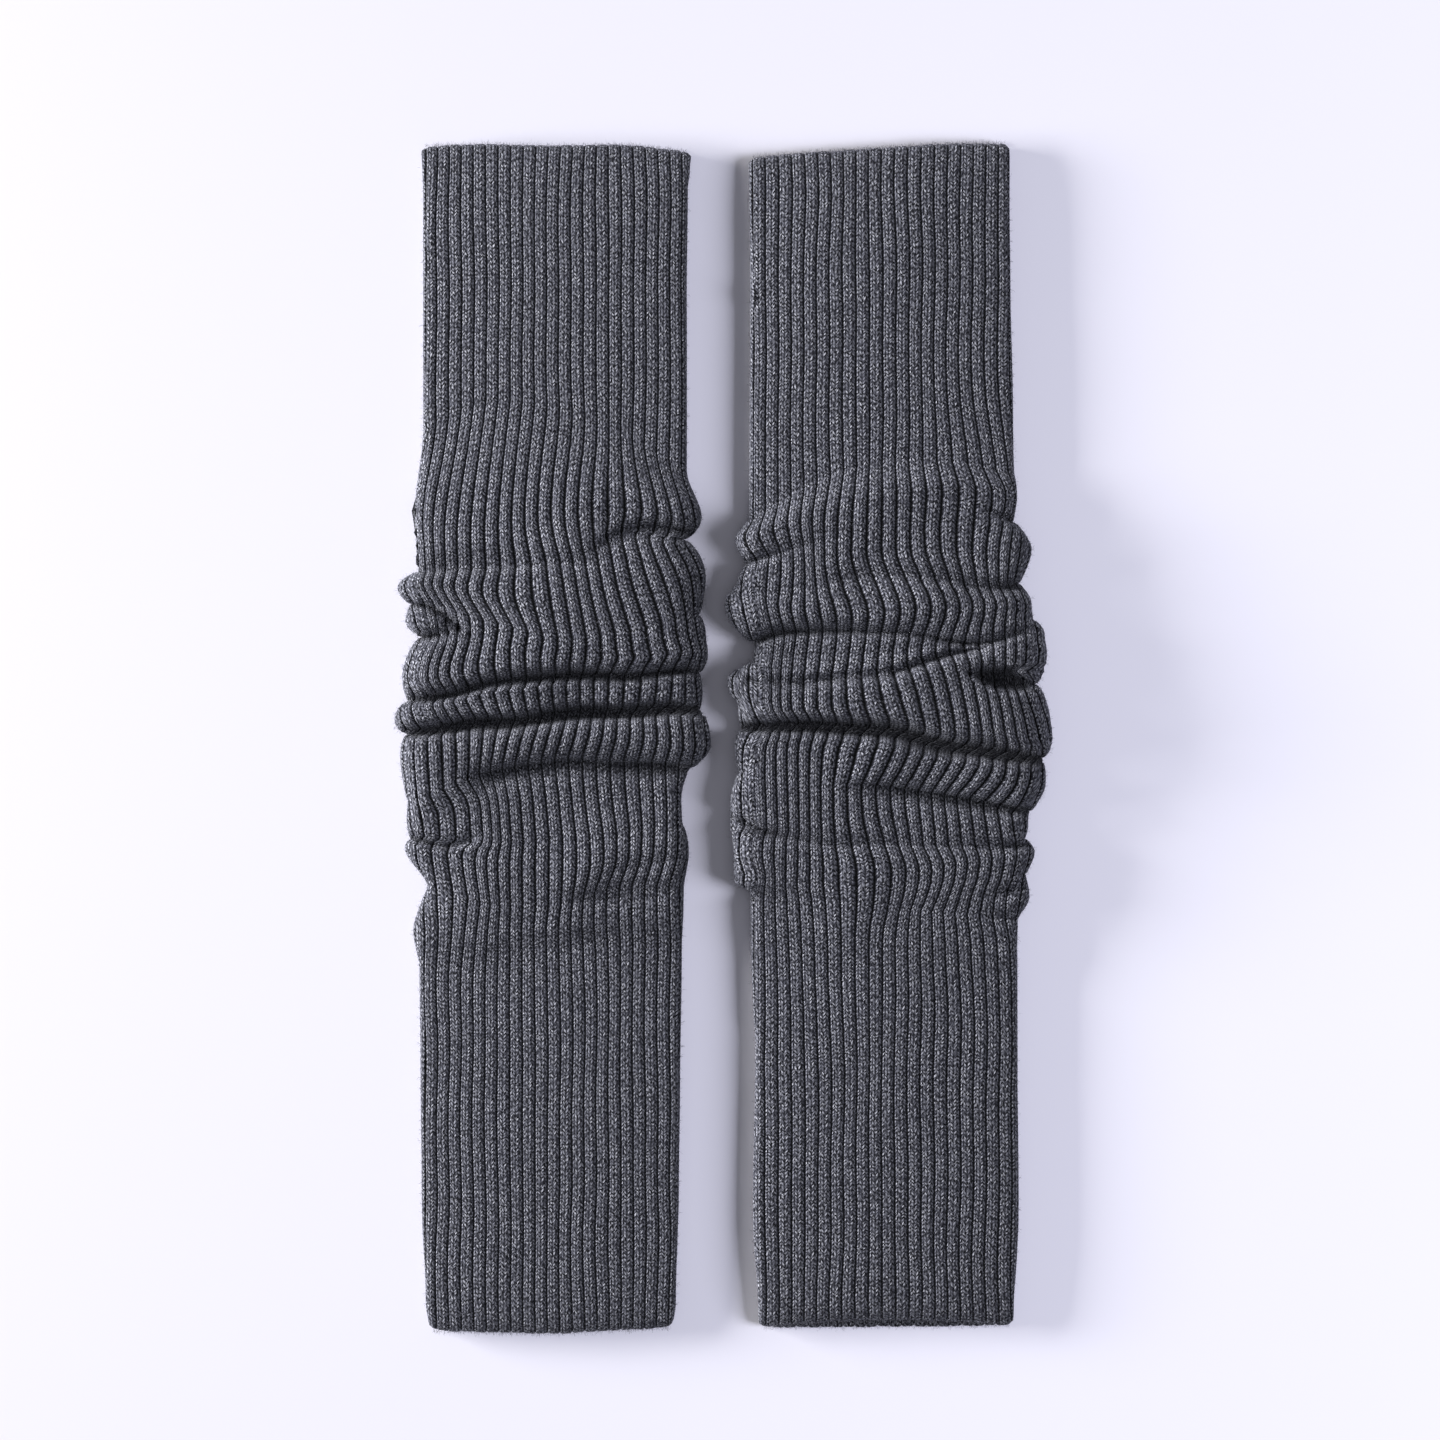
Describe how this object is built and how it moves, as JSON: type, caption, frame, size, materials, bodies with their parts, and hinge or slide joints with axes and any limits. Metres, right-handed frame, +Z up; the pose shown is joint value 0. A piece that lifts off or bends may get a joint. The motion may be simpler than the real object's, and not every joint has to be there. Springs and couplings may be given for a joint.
{
  "type": "footless calf socks",
  "caption": "Ribbed knit wool leg tubes with straight open ends, lying flat side by side, each pushed together into soft cross folds round the calf.",
  "frame": {"origin": "middle of the pair's outline on the surface that it rests on, between the tubes", "axes": "+X across the pair towards the tube with the wider opening gap at its lower hem, +Y along the tubes, +Z up from the surface"},
  "size_m": [0.2526, 0.4538, 0.0156],
  "materials": {
    "calf_sock_left_rib_knit": "charcoal melange wool in narrow ribs, matt and slightly fuzzy",
    "calf_sock_right_rib_knit": "charcoal melange wool in narrow ribs, matt and slightly fuzzy"
  },
  "bodies": {
    "root": {"calf_sock_left": "calf_sock_left_rib_knit", "calf_sock_right": "calf_sock_right_rib_knit"}
  },
  "joints": []
}
